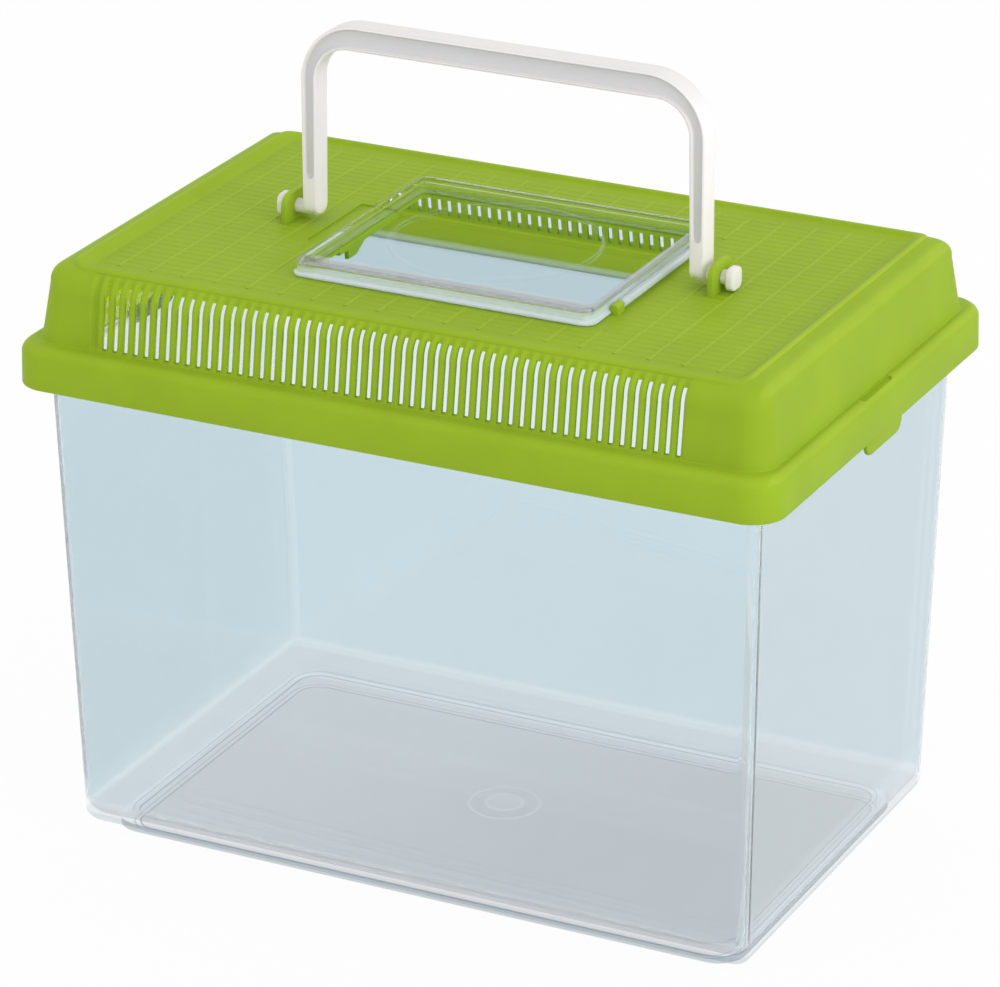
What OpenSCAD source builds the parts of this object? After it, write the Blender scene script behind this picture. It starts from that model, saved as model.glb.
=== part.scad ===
// Plastic pet keeper: a clear tank, a vented lid that lifts off, a carrying
// handle that folds to either side and a clear hatch hinged in the lid.
// +Z is up, X runs along the length, and the front is -Y.
// The origin is the middle of the foot, on the surface that it stands on.

/* [Tank] */
// How far the tank's lip reaches out beyond each end wall
lip_end = 6.3; // [5:0.05:10]
// How far the tank's lip reaches out beyond each long wall
lip_side = 7.85; // [5:0.05:10]
// Height of the tank's rim above the surface that it stands on
tank_h = 197.4; // [150:0.1:240]
// How far each end wall leans in from the rim to the floor
end_draft = 4.8; // [0:0.1:10]
// How far each long wall leans in from the rim to the floor
side_draft = 5.4; // [0:0.1:10]
// Thickness of the tank's walls
tank_wall = 1.5; // [1:0.1:3]
// Thickness of the tank's floor
tank_floor = 2.2; // [1.5:0.1:4]
// Corner radius of the tank's walls
tank_r = 4.5; // [4:0.1:8]
// Radius of the edge between the walls and the floor
bowl_r = 6; // [4:0.1:9]
// Height of the foot under the floor's edge
foot_h = 4; // [3:0.1:8]
// How far the foot stands in from the walls
foot_inset = 7.6; // [6.5:0.1:12]
// Corner radius of the foot
foot_r = 11; // [6:0.1:16]
// Thickness of the lip that turns out at the rim
lip_t = 1.8; // [1.2:0.1:3]

/* [Lid] */
// Outer length of the lid's skirt
lid_l = 300; // [296:0.1:330]
// Outer width of the lid's skirt
lid_w = 198.8; // [196:0.1:220]
// Corner radius of the skirt
lid_r = 13; // [8:0.1:18]
// Height of the skirt, from its lower edge to the ledge
skirt_h = 16.1; // [12:0.1:24]
// How far the skirt leans in from its lower edge to the ledge
skirt_draft = 0.3; // [0.1:0.1:1]
// Radius of the edge between the skirt and the ledge
ledge_r = 4; // [2:0.1:5]
// Thickness of the lid
lid_wall = 1.8; // [1.5:0.1:2.5]
// Width of the ledge round the dome, at each end
ledge_end = 5.6; // [5.2:0.1:12]
// Width of the ledge round the dome, along each side
ledge_side = 7.9; // [7:0.1:10]
// Height of the dome's shoulders above the ledge
dome_h = 27.5; // [26:0.1:40]
// Upright corner radius of the dome
dome_r = 10; // [9:0.1:14]
// How far each of the dome's walls leans in
dome_draft = 2.8; // [0:0.1:4]
// Radius of the dome's shoulders
shoulder_r = 7; // [5:0.1:8]
// How far the raised top panel stands in from the dome's ends
panel_end = 10.9; // [9.8:0.1:12]
// How far the raised top panel stands in from the dome's sides
panel_side = 6.5; // [5.5:0.1:8.5]
// Corner radius of the top panel
panel_r = 7; // [6:0.1:10]
// Height of the top panel's rim above the shoulders
panel_h = 1.8; // [1:0.1:3]
// How far the panel's edge leans in
panel_draft = 0.3; // [0.1:0.1:0.6]
// Radius along the panel's upper edge
panel_edge = 1; // [0.5:0.1:1]
// Width of the border round the sunk field, at each end
border_end = 5; // [4.5:0.1:12]
// Width of the border round the sunk field, along each side
border_side = 6; // [5.5:0.1:12]
// Depth of the sunk field below the panel's rim
tray_d = 2.8; // [1.5:0.1:3.2]
// Width of the sloping border at each end of the sunk field
slope_l = 3; // [1:0.1:3.2]
// Width of the sloping border along each side of the sunk field
slope_w = 4; // [1:0.1:4.2]
// Clearance between the lid and the tank's rim
lid_gap = 0.3; // [0.2:0.05:0.6]
// Clearance between the skirt and the tank's lip
lip_gap = 1.2; // [0.6:0.1:2]

/* [Air slots] */
// Least distance from the dome's ends to the air slots
slot_margin = 28.9; // [25:0.1:60]
// Spacing of the air slots
slot_pitch = 4.26; // [3.5:0.01:4.3]
// Width of each air slot
slot_w = 2.1; // [0.8:0.1:2.6]
// Place of the slot rows' middle along the lid
slot_x = -1.7; // [-4:0.1:4]
// Height of each air slot
slot_h = 24; // [12:0.1:24.4]
// Height of the slots' lower ends above the ledge
slot_up = 0.6; // [0.4:0.1:2]

/* [Lift tabs] */
// Width of the lift tab at each end of the skirt
tab_w = 32; // [20:0.5:44]
// How far the lift tab hangs below the skirt
tab_h = 5; // [3:0.1:7]
// Length of the notch in the ledge above each tab
notch_l = 26; // [10:0.5:34]
// Depth of that notch
notch_d = 1.1; // [0.5:0.1:1.3]

/* [Handle] */
// Distance between the outer faces of the handle's legs
grip_l = 161.2; // [150:0.1:162]
// How far the handle rests off the middle, within its side play
grip_x = 0.6; // [-0.8:0.1:0.8]
// Height of the handle above its pivots
grip_h = 73.3; // [66:0.1:84]
// Width of the handle's legs, seen from the front
band_w = 5.8; // [4.8:0.1:7]
// Height of the handle's top bar
bar_h = 9.4; // [6:0.1:12]
// Depth of the handle's band, from front to back
band_d = 9.3; // [6:0.1:9.4]
// Outer corner radius of the handle
bend_r = 23; // [14:0.5:28]
// Inner corner radius of the handle
inner_r = 13; // [6:0.5:16]
// Width of the rims beside the channel in the band's faces
groove_rim = 0.9; // [0.6:0.1:1.6]
// Depth of the channel
groove_d = 1.6; // [0.4:0.1:2.4]
// Height of the channel's ends above the pivots
groove_up = 14.5; // [8:0.5:20]
// Radius of the handle's pivot pins
pin_r = 2.7; // [2:0.1:3]
// Running clearance of the pins in the ears
pin_gap = 0.06; // [0.02:0.01:0.1]
// Height of the pivots above the sunk field
pivot_up = 5; // [5:0.1:8]
// Distance between the outer faces of the two ears
ear_span = 173.6; // [172:0.1:178]
// Thickness of each ear
ear_t = 2.4; // [1.8:0.1:3]
// Width of each ear, from front to back
ear_w = 18; // [14:0.5:24]
// Height of each ear's top above the pivot
ear_up = 6; // [5:0.1:9]
// Play between an ear and the head of the pin
head_play = 2.6; // [0.4:0.1:3]
// Thickness of the pin's head
head_t = 2.4; // [1.6:0.1:3.5]
// Height of the pin's head
head_h = 8.4; // [7:0.1:8.6]
// Width of the pin's head
head_w = 6; // [5.8:0.1:6.4]

/* [Hatch] */
// Length of the hatch's box
hatch_l = 117.6; // [90:0.1:118]
// Width of the hatch's box
hatch_w = 100.2; // [80:0.1:104]
// Height of the hatch's box above the sunk field
hatch_h = 6.4; // [5:0.1:9]
// Place of the hatch's middle along the lid
hatch_x = 1.8; // [0:0.1:2]
// Place of the hatch's middle across the lid
hatch_y = -4.1; // [-6:0.1:2]
// Thickness of the hatch
hatch_t = 1.6; // [1.2:0.1:2.2]
// Corner radius of the hatch
hatch_r = 4; // [2.5:0.1:7]
// Width of the flange round the hatch's foot
flange = 1.2; // [0.6:0.1:1.4]
// Clearance under the hatch
hatch_gap = 0.3; // [0.2:0.05:0.5]
// Width of the seat round the opening in the lid
seat_w = 1.4; // [0.8:0.1:2]
// Length of the finger pocket beside the hatch
pocket_l = 43; // [20:0.5:60]
// Width of the finger pocket beyond the hatch
pocket_w = 13.4; // [8:0.1:13.6]
// Depth of the finger pocket
pocket_d = 1.6; // [1:0.1:2.4]
// Place of the finger pocket's middle across the lid
pocket_y = 2; // [-6:0.5:6]
// Radius of the hatch's hinge pins
hinge_pin_r = 1; // [0.8:0.05:1.2]
// Length of each hinge lug on the lid
lug_l = 5.6; // [4:0.1:8]
// Distance between the outer ends of the two hinge lugs
lug_span = 71.4; // [50:0.1:78]

/* [Hidden] */
$fn = 32;
// Angle between the steps of a blended edge
step = 22.5;
// Thickness of the thin plates that a blended shell is stretched over
film = 0.01;
// Length by which a cut runs past the face that it opens
past = 1;

// Levels
ledge_z = tank_h + lid_gap + lid_wall;
skirt_z = ledge_z - skirt_h;
shoulder_z = ledge_z + dome_h;
panel_z = shoulder_z + panel_h;
tray_z = panel_z - tray_d;
under_z = tray_z - lid_wall;
pivot_z = tray_z + pivot_up;

// Plan of the lid
dome_l = lid_l - 2 * ledge_end;
dome_w = lid_w - 2 * ledge_side;
panel_l = dome_l - 2 * panel_end;
panel_w = dome_w - 2 * panel_side;
tray_l = panel_l - 2 * border_end;
tray_w = panel_w - 2 * border_side;
slot_n = 2 * floor((dome_l - 2 * slot_margin) / (2 * slot_pitch));

// Plan of the tank
lip_l = lid_l - 2 * lid_wall - 2 * lip_gap;
lip_w = lid_w - 2 * lid_wall - 2 * lip_gap;
lip_r = lid_r - lid_wall - lip_gap;
tank_l = lip_l - 2 * lip_end;
tank_w = lip_w - 2 * lip_side;
floor_l = tank_l - 2 * end_draft;
floor_w = tank_w - 2 * side_draft;
foot_l = floor_l - 2 * foot_inset;
foot_w = floor_w - 2 * foot_inset;

// Handle
leg_x = grip_l / 2;
ear_x = ear_span / 2;
head_x = ear_x + head_play;
foot_up = 1.6;
foot_round = 3.5;
head_round = 1.8;
ear_round = 5;
bore_r = pin_r + pin_gap;

// Hatch
open_l = hatch_l - 2 * seat_w;
open_w = hatch_w - 2 * seat_w;
hatch_z = tray_z + hatch_gap;
barrel_r = hinge_pin_r + 0.7;
hinge_x = hatch_x + hatch_l / 2 + barrel_r + 0.5;
hinge_z = hatch_z + barrel_r + 0.2;
hinge_bore_r = hinge_pin_r + pin_gap;
lug_wall = 0.7;
lug_y = lug_span / 2 - lug_l / 2;
end_gap = 0.5;
pocket_x = hatch_x - hatch_l / 2 - pocket_w;

module rounded(l, w, r) {
  square([l - 2 * r, w], center = true);
  square([l, w - 2 * r], center = true);
  for (i = [-1, 1])
    for (j = [-1, 1])
      translate([i * (l / 2 - r), j * (w / 2 - r)]) circle(r);
}

module plate(l, w, r, z, t = film) {
  translate([0, 0, z])
    linear_extrude(t) rounded(l, w, r);
}

// A vessel's body: walls that lean in downwards and a blended floor edge
module bowl(inset, z0, r) {
  hull() {
    plate(tank_l - 2 * inset, tank_w - 2 * inset, tank_r - inset, tank_h - film);
    for (a = [0 : step : 90])
      plate(floor_l - 2 * (inset + r * (1 - cos(a))),
            floor_w - 2 * (inset + r * (1 - cos(a))),
            max(tank_r - inset - 0.5 * r * (1 - cos(a)), 0.8),
            z0 + r * (1 - sin(a)));
  }
}

// A lid's body: walls that lean in upwards and a blended top edge
module cap(l, w, r, z0, z1, lean, blend) {
  hull() {
    plate(l, w, r, z0);
    for (a = [0 : step : 90])
      plate(l - 2 * (lean + blend * (1 - cos(a))),
            w - 2 * (lean + blend * (1 - cos(a))),
            r - 0.5 * blend * (1 - cos(a)),
            z1 - film - blend * (1 - sin(a)));
  }
}

module tank() {
  color([0.79, 0.87, 0.9, 0.35])
    difference() {
      union() {
        bowl(0, foot_h, bowl_r);
        plate(foot_l, foot_w, foot_r, 0, foot_h + bowl_r / 2);
        plate(lip_l, lip_w, lip_r, tank_h - lip_t, lip_t);
      }
      bowl(tank_wall, foot_h + tank_floor, bowl_r - tank_wall);
      plate(foot_l - 2 * tank_floor, foot_w - 2 * tank_floor, foot_r - tank_floor,
            tank_floor, foot_h + bowl_r);
      plate(tank_l - 2 * tank_wall, tank_w - 2 * tank_wall, tank_r - tank_wall,
            tank_h - past, 2 * past);
    }
}

// The sunk field with its sloping border
module tray() {
  hull() {
    plate(tray_l, tray_w, 5, tray_z);
    plate(tray_l + 2 * slope_l, tray_w + 2 * slope_w, 6, panel_z + film);
  }
}

module slots() {
  for (i = [0 : slot_n - 1])
    translate([slot_x + (i - (slot_n - 1) / 2) * slot_pitch - slot_w / 2, ledge_z + slot_up])
      square([slot_w, slot_h]);
}

// Air slots through both long walls
module slot_cut() {
  for (side = [-1, 1])
    translate([0, side * (dome_w / 2 - 5), 0])
      rotate([90, 0, 0])
        linear_extrude(14, center = true) slots();
}

module lift_tab() {
  translate([lid_l / 2 - lid_wall, 0, skirt_z])
    rotate([90, 0, 90])
      linear_extrude(lid_wall) {
        translate([0, -tab_h / 2 + lid_wall / 2]) square([tab_w - tab_h, tab_h + lid_wall], center = true);
        translate([0, lid_wall / 2]) square([tab_w, lid_wall], center = true);
        for (i = [-1, 1])
          translate([i * (tab_w / 2 - tab_h), 0]) circle(tab_h);
      }
}

module ear() {
  translate([ear_x - ear_t, 0, 0])
    rotate([90, 0, 90])
      linear_extrude(ear_t) {
        translate([-ear_w / 2, under_z]) square([ear_w, pivot_z + ear_up - ear_round - under_z]);
        translate([-ear_w / 2 + ear_round, under_z]) square([ear_w - 2 * ear_round, pivot_z + ear_up - under_z]);
        for (i = [-1, 1])
          translate([i * (ear_w / 2 - ear_round), pivot_z + ear_up - ear_round]) circle(ear_round);
      }
}

// A lug that holds one end of the hatch's hinge pin
module lug() {
  w = 2 * (hinge_bore_r + lug_wall);
  translate([hinge_x - w / 2, hatch_y - lug_l / 2, under_z])
    cube([w, lug_l, hinge_z - under_z]);
  translate([hinge_x, hatch_y + lug_l / 2, hinge_z])
    rotate([90, 0, 0]) cylinder(r = w / 2, h = lug_l);
}

// The floor of the finger pocket and the tongue that hangs from it
module pocket_floor() {
  translate([pocket_x - lid_wall, pocket_y - pocket_l / 2 - lid_wall, under_z - pocket_d])
    cube([hatch_x - open_l / 2 - pocket_x + lid_wall, pocket_l + 2 * lid_wall, pocket_d + film]);
  translate([pocket_x + pocket_w - 5, 0, 0])
    rotate([90, 0, 90])
      linear_extrude(lid_wall)
        polygon([[-7, under_z - pocket_d + film], [6, under_z - pocket_d + film],
                 [6, under_z - pocket_d - 4], [0, under_z - pocket_d - 7.2],
                 [-6.2, under_z - pocket_d - 7.2]]);
}

module lid() {
  color([0.6, 0.71, 0.22])
    difference() {
      union() {
        difference() {
          union() {
            cap(lid_l, lid_w, lid_r, skirt_z, ledge_z, skirt_draft, ledge_r);
            cap(dome_l, dome_w, dome_r, ledge_z - past, shoulder_z, dome_draft, shoulder_r);
            cap(panel_l, panel_w, panel_r, shoulder_z - shoulder_r, panel_z, panel_draft, panel_edge);
          }
          tray();
          plate(lid_l - 2 * lid_wall, lid_w - 2 * lid_wall, lid_r - lid_wall,
                skirt_z - past, skirt_h - lid_wall + past);
          cap(dome_l - 2 * lid_wall, dome_w - 2 * lid_wall, dome_r - lid_wall,
              ledge_z - lid_wall - past, under_z, dome_draft, shoulder_r - lid_wall);
          slot_cut();
        }
        for (i = [0, 1])
          mirror([i, 0, 0]) {
            lift_tab();
            ear();
          }
        for (j = [-1, 1])
          translate([0, j * lug_y, 0]) lug();
        pocket_floor();
      }
      translate([hatch_x, hatch_y, 0])
        plate(open_l, open_w, hatch_r - seat_w, under_z - pocket_d - past, tray_d + pocket_d + 2 * lid_wall + past);
      translate([pocket_x, pocket_y - pocket_l / 2, tray_z - pocket_d])
        cube([pocket_w + seat_w + past, pocket_l, pocket_d + past]);
      for (i = [-1, 1])
        translate([i * (dome_l / 2 + 2.2), 0, ledge_z])
          cube([2.4, notch_l, 2 * notch_d], center = true);
      translate([0, 0, pivot_z])
        rotate([0, 90, 0]) cylinder(r = bore_r, h = ear_span + 2 * past, center = true);
      translate([hinge_x, hatch_y, hinge_z])
        rotate([90, 0, 0]) cylinder(r = hinge_bore_r, h = lug_span + 2 * past, center = true);
    }
}

// The handle's band as a flat arch, drawn in by a margin on every side
module arch(margin, low) {
  x_out = leg_x - margin;
  z_out = grip_h - margin;
  r_out = bend_r - margin;
  x_in = leg_x - band_w + margin;
  z_in = grip_h - bar_h + margin;
  r_in = inner_r + margin;
  difference() {
    union() {
      translate([-x_out, low]) square([2 * x_out, z_out - r_out - low]);
      translate([r_out - x_out, low]) square([2 * (x_out - r_out), z_out - low]);
      for (i = [-1, 1])
        translate([i * (x_out - r_out), z_out - r_out]) circle(r_out, $fn = 96);
    }
    translate([-x_in, low - past]) square([2 * x_in, z_in - r_in - low + past]);
    translate([r_in - x_in, low - past]) square([2 * (x_in - r_in), z_in - low + past]);
    for (i = [-1, 1])
      translate([i * (x_in - r_in), z_in - r_in]) circle(r_in, $fn = 64);
  }
}

module groove() {
  arch(groove_rim, groove_up);
  for (i = [-1, 1])
    translate([i * (leg_x - band_w / 2), groove_up]) circle(band_w / 2 - groove_rim);
}

// One end of the handle: the rounded foot, the pin and its flat head
module handle_end() {
  translate([leg_x - band_w, 0, 0])
    rotate([90, 0, 90])
      linear_extrude(band_w) {
        translate([-band_d / 2, foot_round - foot_up]) square([band_d, foot_round + 2]);
        translate([-band_d / 2 + foot_round, -foot_up]) square([band_d - 2 * foot_round, 2 * foot_round]);
        for (i = [-1, 1])
          translate([i * (band_d / 2 - foot_round), foot_round - foot_up]) circle(foot_round);
      }
  translate([leg_x - band_w / 2, 0, 0])
    rotate([0, 90, 0]) cylinder(r = pin_r, h = head_x + head_t / 2 - leg_x + band_w / 2);
  translate([head_x, 0, 0])
    rotate([90, 0, 90])
      linear_extrude(head_t) rounded(head_w, head_h, head_round);
}

module handle() {
  color([0.93, 0.92, 0.91])
    translate([grip_x, 0, pivot_z])
      difference() {
        union() {
          rotate([90, 0, 0])
            linear_extrude(band_d, center = true) arch(0, foot_round);
          for (i = [0, 1])
            mirror([i, 0, 0]) handle_end();
        }
        for (j = [-1, 1])
          translate([0, j * band_d / 2, 0])
            rotate([90, 0, 0])
              linear_extrude(2 * groove_d, center = true) groove();
      }
}

module hatch() {
  color([0.85, 0.89, 0.9, 0.4])
    difference() {
      union() {
        translate([hatch_x, hatch_y, 0]) {
          plate(hatch_l, hatch_w, hatch_r, hatch_z, hatch_h - hatch_gap);
          plate(hatch_l + 2 * flange, hatch_w + 2 * flange, hatch_r + flange, hatch_z, 1.2);
        }
        translate([hatch_x + hatch_l / 2 - 0.5, hatch_y - lug_span / 2 + lug_l + end_gap, hatch_z])
          cube([hinge_x - hatch_x - hatch_l / 2 + 0.5, lug_span - 2 * lug_l - 2 * end_gap, 1.2]);
        translate([hinge_x, hatch_y, hinge_z])
          rotate([90, 0, 0])
            cylinder(r = barrel_r, h = lug_span - 2 * lug_l - 2 * end_gap, center = true);
        translate([hinge_x, hatch_y, hinge_z])
          rotate([90, 0, 0]) cylinder(r = hinge_pin_r, h = lug_span - 2, center = true);
      }
      translate([hatch_x, hatch_y, 0])
        plate(hatch_l - 2 * hatch_t, hatch_w - 2 * hatch_t, hatch_r - hatch_t,
              hatch_z - past, hatch_h - hatch_gap - hatch_t + past);
      for (j = [-1, 1])
        translate([hinge_x - hinge_bore_r - lug_wall - end_gap, hatch_y + j * lug_y - lug_l / 2 - end_gap, 0])
          difference() {
            cube([4 * barrel_r, lug_l + 2 * end_gap, 2 * tank_h]);
            translate([hinge_bore_r + lug_wall + end_gap, 0, hinge_z])
              rotate([-90, 0, 0]) cylinder(r = hinge_pin_r, h = lug_l + 2 * end_gap);
          }
    }
}

tank();
lid();
handle();
hatch();
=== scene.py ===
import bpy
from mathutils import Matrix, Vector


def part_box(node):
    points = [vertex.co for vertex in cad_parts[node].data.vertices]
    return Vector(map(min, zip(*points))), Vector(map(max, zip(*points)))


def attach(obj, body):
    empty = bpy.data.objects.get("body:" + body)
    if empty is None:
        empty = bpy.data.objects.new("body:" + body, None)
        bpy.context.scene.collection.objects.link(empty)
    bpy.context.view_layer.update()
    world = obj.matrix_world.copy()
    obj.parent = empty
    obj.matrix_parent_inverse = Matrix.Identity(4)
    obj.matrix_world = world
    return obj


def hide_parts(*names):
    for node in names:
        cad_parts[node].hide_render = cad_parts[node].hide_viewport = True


bl_info = {
    "name": "Plastic Pet Keeper",
    "version": (1, 0, 0),
    "blender": (4, 5, 0),
    "location": "View3D > Sidebar > Pet Keeper",
    "description": "Builds a clear pet keeper with a vented lid, a hinged hatch and a folding handle",
    "category": "Add Mesh",
}

from math import acos, atan2, cos, hypot, pi, radians, sin, sqrt

import bmesh
import bpy
from bpy.props import FloatProperty, FloatVectorProperty, IntProperty, PointerProperty
from mathutils import Matrix, Vector

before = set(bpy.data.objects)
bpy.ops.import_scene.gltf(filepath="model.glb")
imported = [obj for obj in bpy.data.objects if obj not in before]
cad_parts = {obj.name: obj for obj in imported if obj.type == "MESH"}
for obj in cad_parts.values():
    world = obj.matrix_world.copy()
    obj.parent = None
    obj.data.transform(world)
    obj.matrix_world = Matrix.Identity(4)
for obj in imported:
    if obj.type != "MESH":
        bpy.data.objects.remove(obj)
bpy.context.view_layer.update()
MM = 0.001


def corners(node):
    """A CAD node's lowest and highest corners, in millimetres."""
    return [tuple(c / MM for c in corner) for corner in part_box(node)]


LID_LOW, LID_HIGH = corners("lid")
TANK_HIGH = corners("tank")[1]
HANDLE_LOW, HANDLE_HIGH = corners("handle")
HATCH_LOW, HATCH_HIGH = corners("hatch")

PARTS = ("tank", "lid", "handle", "hatch", "stage")

# Levels of the lid, in millimetres
SKIRT_Z = LID_LOW[2] + 5.0
LEDGE_Z = 199.5
UNDER_Z = 224.2
FIELD_Z = 226.0
SHOULDER_Z = 227.0
RIM_Z = 227.4  # the panel's rim on the long sides
PANEL_Z = 228.6  # and at the ends

# Half sizes of the lid
SKIRT = LID_HIGH[:2]
DOME = (144.4, 91.5)
PANEL = (133.3, 83.0)
FIELD = (128.5, 79.0)
TREADS = (126.9, 76.0)
LEAN = 2.8  # how far the dome's walls lean in
ROUND = 10.0  # the shoulder's radius on the long sides
END_ROUND = 6.0  # and at the ends
DOME_CORNER = 10.0

# The air slots in the dome's long walls
VENT_X = -1.7
VENT_LOW = 199.9
VENT_IN = PANEL[1] - 0.05
SLOT_ROWS = (1, 16)  # the rows of vent_profile between which a slot is open

# The hatch, its hinge and the handle's pivot
HATCH_AT = (1.8, -4.1)
HATCH_OPEN = (57.4, 48.7)
HATCH = (58.8, 50.1)
HATCH_RING = (-2.3, -1.1, 38.7)
HINGE_X, HINGE_Z = 62.8, 228.2
PIVOT_Z = 231.0

# Half sizes of the tank at its foot and its rim, and of the recess in its floor
TANK_FOOT = (135.9, 83.15)
TANK_RIM = (140.7, 88.55)
RECESS = (122.0, 70.2)

CLEAR_IOR = 1.45


# ---- meshes

def outline(half, r, arc=10, run_x=20, run_y=12):
    """Points round a rounded rectangle, each with 0 on an end and 1 on a long side."""
    points = []
    hx, hy = half[0] - r, half[1] - r
    centres = ((hx, hy), (-hx, hy), (-hx, -hy), (hx, -hy))
    for q, (cx, cy) in enumerate(centres):
        for k in range(arc + 1):
            a = radians(90 * (q + k / arc))
            points.append((cx + r * cos(a), cy + r * sin(a), sin(a) ** 2))
        sx, sy, weight = points[-1]
        nx, ny = centres[(q + 1) % 4]
        ex, ey = nx + r * cos(a), ny + r * sin(a)
        near = min(0.04, 0.5 / max(1, hypot(ex - sx, ey - sy)))
        runs = (run_x, run_y)[q % 2]
        for t in [near] + [k / runs for k in range(1, runs)] + [1 - near]:
            points.append((sx + (ex - sx) * t, sy + (ey - sy) * t, weight))
    return points


def ring(half, d, r, z, side_z=None, at=(0, 0), **runs):
    """One closed ring, d inside a half size; side_z is its height on the long sides."""
    side = z if side_z is None else side_z
    points = outline((half[0] - d, half[1] - d), max(r, 0.05), **runs)
    return [(x + at[0], y + at[1], z + (side - z) * w) for x, y, w in points]


def quarter(steps):
    """Points of a quarter turn, as (1 - cosine, 1 - sine)."""
    turns = [radians(90 * k / steps) for k in range(steps + 1)]
    return [(1 - cos(a), 1 - sin(a)) for a in turns]


def loft(rings):
    """Vertices and faces of a closed skin through rings of equal count."""
    n = len(rings[0])
    verts = [p for r in rings for p in r]
    faces = []
    for j in range(len(rings) - 1):
        for i in range(n):
            k = (i + 1) % n
            faces.append((j * n + i, j * n + k, (j + 1) * n + k, (j + 1) * n + i))
    faces.append(tuple(reversed(range(n))))
    faces.append(tuple(range((len(rings) - 1) * n, len(rings) * n)))
    return verts, faces


def add(name, data):
    """A new object in the scene."""
    obj = bpy.data.objects.new(name, data)
    bpy.context.scene.collection.objects.link(obj)
    return obj


def piece(name, *parts, smooth=38, turn_out=False):
    """A new object from one or more closed parts, given as vertices in millimetres and faces."""
    bm = bmesh.new()
    for verts, faces in parts:
        made = [bm.verts.new((x * MM, y * MM, z * MM)) for x, y, z in verts]
        for f in faces:
            bm.faces.new([made[i] for i in f])
    bmesh.ops.remove_doubles(bm, verts=bm.verts, dist=1e-7)
    bmesh.ops.dissolve_degenerate(bm, edges=bm.edges, dist=1e-7)
    if turn_out:
        bmesh.ops.recalc_face_normals(bm, faces=bm.faces)
    mesh = bpy.data.meshes.new(name)
    bm.to_mesh(mesh)
    bm.free()
    obj = add(name, mesh)
    soften(obj, smooth)
    return obj


def soften(obj, angle):
    """Smooth shading with the sharp edges kept."""
    bm = bmesh.new()
    bm.from_mesh(obj.data)
    limit = radians(angle)
    for f in bm.faces:
        f.smooth = True
    for e in bm.edges:
        e.smooth = not (len(e.link_faces) == 2 and e.calc_face_angle(0) > limit)
    bm.to_mesh(obj.data)
    bm.free()


def drop(obj):
    """Deletes an object and its mesh."""
    mesh = obj.data
    bpy.data.objects.remove(obj)
    if mesh.users == 0:
        bpy.data.meshes.remove(mesh)


def combine(obj, operation, others, smooth=38):
    """Cuts closed solids out of obj or welds them to it, and deletes them."""
    for other in others:
        m = obj.modifiers.new("boolean", "BOOLEAN")
        m.operation, m.solver, m.object = operation, "EXACT", other
    bake(obj)
    for other in others:
        drop(other)
    soften(obj, smooth)


def bake(obj):
    """Turns obj's modifiers into plain mesh."""
    bpy.context.view_layer.update()
    seen = obj.evaluated_get(bpy.context.evaluated_depsgraph_get())
    mesh = bpy.data.meshes.new_from_object(seen)
    old = obj.data
    obj.modifiers.clear()
    obj.data = mesh
    mesh.name = obj.name
    bpy.data.meshes.remove(old)


def arc_points(cx, cy, r, a0, a1, steps):
    """Points of an arc between two angles in degrees."""
    turns = [radians(a0 + (a1 - a0) * k / steps) for k in range(steps + 1)]
    return [(cx + r * cos(a), cy + r * sin(a)) for a in turns]


def inset(points, d):
    """A convex outline drawn in by d."""
    n = len(points)
    out = []
    for i in range(n):
        p, q, s = Vector(points[i - 1]), Vector(points[i]), Vector(points[(i + 1) % n])
        a, b = (q - p), (s - q)
        a = a.normalized() if a.length > 1e-9 else b.normalized()
        b = b.normalized() if b.length > 1e-9 else a
        na, nb = Vector((-a.y, a.x)), Vector((-b.y, b.x))
        m = (na + nb).normalized()
        out.append(tuple(q + m * d / max(0.4, m.dot(na))))
    return out


def slab(points, t0, t1, edge, axis):
    """A plate of a convex anticlockwise outline from t0 to t1 along an axis, with rounded edges."""
    turn = -1 - "XYZ".index(axis)
    levels = [(t0 + edge * c, edge * h) for c, h in quarter(3)]
    levels += [(t0 + t1 - t, d) for t, d in reversed(levels)]
    rings = [[(*point, t) for point in inset(points, d)] for t, d in levels]
    return loft([[p[turn:] + p[:turn] for p in r] for r in rings])


def flip(part):
    """A part mirrored across the middle, with its faces turned right again."""
    verts, faces = part
    return [(-x, y, z) for x, y, z in verts], [tuple(reversed(f)) for f in faces]


def rod(t0, t1, r, a, b, edge, axis, sides=40):
    """A round bar from t0 to t1 whose middle lies at (a, b)."""
    turns = [2 * pi * k / sides for k in range(sides)]
    return slab([(a + r * cos(t), b + r * sin(t)) for t in turns], t0, t1, edge, axis)


# ---- shader maths

def operation(kind, swapped=False):
    """A method that adds one maths node."""
    return lambda self, other=None: self.math(kind, *((other, self) if swapped else (self, other)))


class Wire:
    """A node socket that can be used in Python expressions."""

    def __init__(self, tree, socket):
        self.tree, self.socket = tree, socket

    def math(self, operation, a, b=None):
        node = self.tree.nodes.new("ShaderNodeMath")
        node.operation = operation
        for i, v in enumerate((a, b)):
            if isinstance(v, Wire):
                self.tree.links.new(v.socket, node.inputs[i])
            elif v is not None:
                node.inputs[i].default_value = v
        return Wire(self.tree, node.outputs[0])

    __add__ = operation("ADD")
    __radd__ = operation("ADD", swapped=True)
    __sub__ = operation("SUBTRACT")
    __rsub__ = operation("SUBTRACT", swapped=True)
    __mul__ = operation("MULTIPLY")
    __pow__ = operation("POWER")
    __abs__ = operation("ABSOLUTE")
    most = operation("MAXIMUM")
    least = operation("MINIMUM")
    over = operation("GREATER_THAN")
    under = operation("LESS_THAN")


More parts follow.
